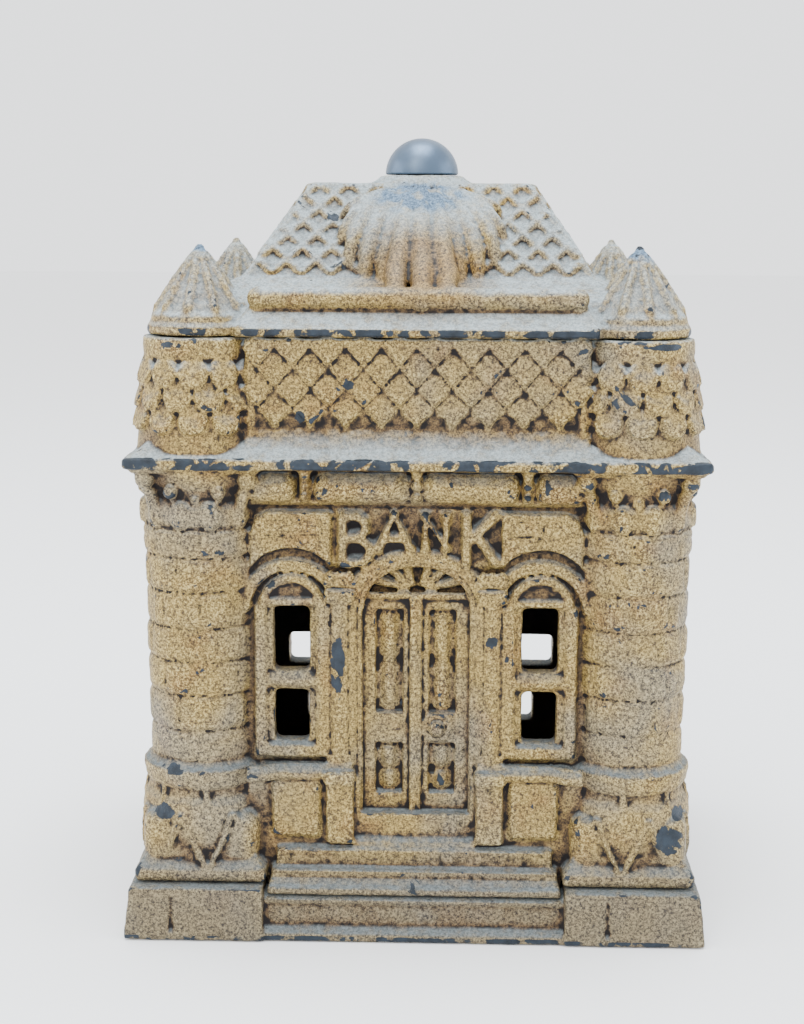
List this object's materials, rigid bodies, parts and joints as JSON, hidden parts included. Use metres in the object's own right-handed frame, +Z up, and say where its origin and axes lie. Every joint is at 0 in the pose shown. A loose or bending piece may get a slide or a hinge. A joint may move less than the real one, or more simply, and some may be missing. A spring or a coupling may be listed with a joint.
{
  "type": "cast iron still bank",
  "caption": "Cast iron coin bank shaped like a small bank building, with corner towers, slated roof and a domed nut that holds the parts together.",
  "frame": {"origin": "centre of the footprint, on the surface that the bank stands on", "axes": "+Z up along the tie rod; the front with the door faces -Y; +X is to the right seen from the front"},
  "size_m": [0.107, 0.0838, 0.146],
  "materials": {
    "gilt_iron": "worn gold paint over sand-cast iron, dusty on top and chipped to bare iron on edges",
    "bare_steel": "dull, lightly rusted steel",
    "blued_steel": "smooth dark blue-grey steel"
  },
  "bodies": {
    "building": {"base": "gilt_iron", "front_wall": "gilt_iron", "rear_wall": "gilt_iron", "left_wall": "gilt_iron", "right_wall": "gilt_iron", "tie_rod": "bare_steel", "lower_nut": "bare_steel"},
    "roof": {"roof": "gilt_iron"},
    "dome_nut": {"dome_nut": "blued_steel"}
  },
  "joints": [
    {"name": "roof_lift", "type": "slide", "parent": "building", "child": "roof", "axis": [0, 0, 1], "range_m": [0, 0.045]},
    {"name": "dome_nut_turn", "type": "hinge", "parent": "roof", "child": "dome_nut", "pos_m": [0, 0, 0.139], "axis": [0, 0, 1], "continuous": true}
  ]
}
